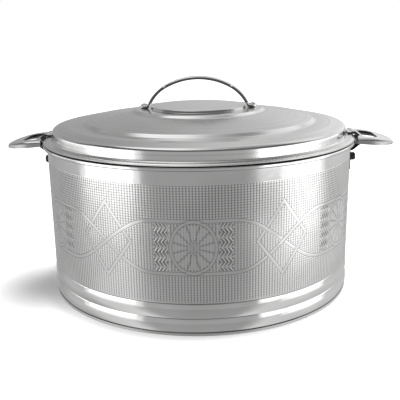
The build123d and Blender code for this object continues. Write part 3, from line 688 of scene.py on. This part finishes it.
# ---- Floor ----
# A plain pale sheet of paper that runs out of sight. To the camera it glows white, except in a thin ring round
# the pot's foot and a soft patch to its left: painted shade, where the glow fades and the lamps' shade shows.
floor_radius = 6.0
sheet = bmesh.new()
bmesh.ops.create_circle(sheet, cap_ends=True, radius=floor_radius, segments=96)
floor_mesh = bpy.data.meshes.new("floor")
sheet.to_mesh(floor_mesh)
sheet.free()
floor = bpy.data.objects.new("floor", floor_mesh)
bpy.context.scene.collection.objects.link(floor)
paper = Finish("white_paper", (0.74, 0.74, 0.74), 0.9, metal=0.0)
paper.shader.inputs["Specular IOR Level"].default_value = 0.1


def whitening(centre, near, far, start):
    """How strongly the paper glows white to the camera, by the distance from a point; the glow fades towards
    it.
    """
    away = paper.node("ShaderNodeVectorMath", paper.place, centre, operation="DISTANCE")
    return paper.ramp(away.outputs["Value"], near, far, start, 1.0)


foot_shade = whitening((0, 0, 0), 147.0, 166.0, 0.45)
left_shade = whitening((-145.0, -35.0, 0), 5.0, 100.0, 0.0)
glow = paper.node("ShaderNodeLightPath").outputs["Is Camera Ray"]
for shade in (foot_shade, left_shade):
    glow = paper.math("MULTIPLY", glow, shade)
paper.shader.inputs["Emission Color"].default_value = (1, 1, 1, 1)
paper.tree.links.new(glow, paper.shader.inputs["Emission Strength"])
floor.data.materials.append(paper.material)
floor.visible_glossy = False

# ---- Studio light ----
# A light tent, open and darker towards the front and brightest overhead on the left, with soft boxes at the
# sides. Steel shows the tent; the camera sees plain white behind the pot.
world = bpy.data.worlds.new("light_tent")
bpy.context.scene.world = world
world.use_nodes = True
background = world.node_tree.nodes["Background"]


def tent(kind, *inputs, **settings):
    return add_node(world.node_tree, kind, *inputs, **settings)


def tent_math(operation, *values):
    return tent("ShaderNodeMath", *values, operation=operation).outputs[0]


def step(value, low, high):
    """0 at low and 1 at high, with a smooth change between them."""
    return tent("ShaderNodeMapRange", value, low, high, 0.0, 1.0, interpolation_type="SMOOTHSTEP").outputs[0]


def mixed(share, first, second):
    """Goes from the first light to the second while the share goes from 0 to 1."""
    return tent("ShaderNodeMix", share, None, first, second).outputs[0]


def levels(value, *stops):
    """How bright the tent is by a value from -1 to 1. A stop is such a value and the level there."""
    ramp = tent("ShaderNodeValToRGB", tent("ShaderNodeMapRange", value, -1.0, 1.0, 0.0, 1.0).outputs[0])
    while len(ramp.color_ramp.elements) > 1:
        ramp.color_ramp.elements.remove(ramp.color_ramp.elements[0])
    for number, (place, level) in enumerate(stops):
        stop = ramp.color_ramp.elements[0] if number == 0 else ramp.color_ramp.elements.new(0.5 + place / 2)
        stop.position = 0.5 + place / 2
        stop.color = (level, level, level, 1)
    return ramp.outputs["Color"]


look = tent("ShaderNodeTexCoord").outputs["Generated"]
east, north, height = tent("ShaderNodeSeparateXYZ", look).outputs
sides = levels(height, (-0.9, 0.65), (-0.3, 0.72), (0.0, 0.6), (0.16, 0.5), (0.3, 0.52), (0.42, 0.43),
               (0.47, 0.46), (0.54, 0.58), (0.75, 0.5))
front = levels(height, (-0.9, 0.34), (-0.22, 0.32), (-0.17, 0.38), (0.2, 0.37), (0.34, 0.12), (0.76, 0.1))
overhead = levels(east, (-1.0, 0.9), (-0.4, 1.15), (-0.12, 1.05), (0.0, 0.8), (0.08, 0.6), (0.2, 0.48),
                  (0.35, 0.33), (0.5, 0.38), (0.8, 0.6), (1.0, 0.8))
flat = tent_math("SQRT", tent_math("MULTIPLY_ADD", east, east, tent_math("MULTIPLY", north, north)))
heading = tent_math("MULTIPLY_ADD", step(height, 0.2, 0.32), -1.0, tent_math("DIVIDE", north, flat))
tent_walls = mixed(step(heading, -0.6, -0.85), sides, front)

# The walls' light also changes from left to right, in one way in front of the pot and in another behind it.
slant_before = levels(east, (-0.9, 0.5), (-0.5, 0.56), (0.0, 0.55), (0.45, 0.59), (0.6, 0.56), (0.85, 0.52),
                      (1.0, 0.52))
slant_low = levels(east, (-1.0, 0.42), (-0.7, 0.3), (0.0, 0.35), (0.7, 0.46), (1.0, 0.54))
slant_high = levels(east, (-1.0, 0.38), (-0.3, 0.37), (-0.19, 0.4), (-0.05, 0.53), (0.05, 0.6), (0.13, 0.64),
                    (0.2, 0.8), (0.4, 0.95), (1.0, 0.8))
slant_behind = mixed(step(height, -0.1, 0.1), slant_low, slant_high)
slant = mixed(step(north, -0.2, 0.2), slant_before, slant_behind)
wall_strength, roof_edge, roof = 2.0, 0.76, 0.88
tent_light = tent_math("MULTIPLY", tent_math("MULTIPLY", tent_walls, slant), wall_strength)
tent_light = mixed(step(height, roof_edge, roof), tent_light, overhead)
camera_ray = tent("ShaderNodeLightPath").outputs["Is Camera Ray"]
shown = tent("ShaderNodeMix", camera_ray, data_type="RGBA")
to_metal, to_camera, shown_colour = shown.inputs[6], shown.inputs[7], shown.outputs[2]
to_camera.default_value = (1, 1, 1, 1)
world.node_tree.links.new(tent_light, to_metal)
world.node_tree.links.new(shown_colour, background.inputs["Color"])
lamp_aim = Vector((0, 0, 0.09))
core, border, strip = 0.85, 0.38, 1.05


def soft_box(name, centre, width, height, brightness, in_metal=True):
    """A rectangular lamp that faces the pot; brightness is how bright its front looks."""
    lamp = bpy.data.lights.new(name, "AREA")
    lamp.shape = "RECTANGLE"
    lamp.size, lamp.size_y = width, height
    lamp.energy = brightness * pi * width * height
    box = bpy.data.objects.new(name, lamp)
    box.location = centre
    box.rotation_euler = (Vector(centre) - lamp_aim).to_track_quat("Z", "Y").to_euler()
    box.visible_camera = False
    box.visible_glossy = in_metal
    bpy.context.scene.collection.objects.link(box)


# A larger, dimmer lamp just behind each of the main boxes gives it a soft border in the steel. The last two
# don't show in steel: they light the paper and lay the pot's shade to its left.
soft_box("soft_box_left", (-0.66, -0.37, 0.135), 0.52, 0.4, core)
soft_box("soft_box_left_edge", (-0.665, -0.375, 0.11), 0.7, 0.52, border)
soft_box("soft_box_left_back", (-0.86, 0.14, 0.12), 0.5, 0.18, strip)
soft_box("soft_box_right", (0.722, -0.175, 0.09), 0.38, 0.44, core)
soft_box("soft_box_right_edge", (0.727, -0.176, 0.085), 0.54, 0.56, border)
soft_box("soft_box_right_front", (0.659, -0.538, 0.15), 0.25, 0.34, core)
soft_box("soft_box_right_front_edge", (0.664, -0.542, 0.145), 0.33, 0.43, border)
soft_box("soft_box_right_back", (0.86, 0.3, 0.12), 0.5, 0.18, strip)
soft_box("soft_box_above", (-0.34, 0.02, 0.8), 0.5, 0.5, 1.2, in_metal=False)
soft_box("key_from_right", (0.9, 0.25, 0.5), 0.5, 0.5, 10.0, in_metal=False)

bpy.context.scene.view_settings.view_transform = "Standard"
